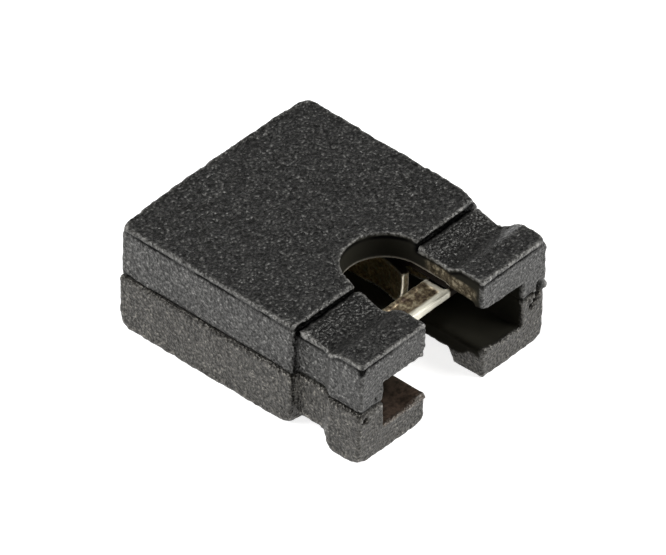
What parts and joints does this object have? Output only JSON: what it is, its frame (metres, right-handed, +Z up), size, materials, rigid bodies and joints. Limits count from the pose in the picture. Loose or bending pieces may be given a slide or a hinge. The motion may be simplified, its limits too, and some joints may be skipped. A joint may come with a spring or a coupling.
{
  "type": "jumper shunt",
  "caption": "Slip-on jumper shunt: a black moulded housing with a notch between its post mouths, holding a folded gold spring contact that bridges two square posts.",
  "frame": {"origin": "centre of the bounding box's underside, on the surface that the part lies on", "axes": "+X across the two sockets, +Y from the post mouths to the closed back, +Z up out of the flat top"},
  "size_m": [0.005, 0.0059, 0.0023],
  "materials": {
    "housing_plastic": "spark-textured matte black glass-filled plastic",
    "contact_metal": "gold-plated sheet with bright sheared edges"
  },
  "bodies": {
    "root": {"housing": "housing_plastic", "contact": "contact_metal"}
  },
  "joints": []
}
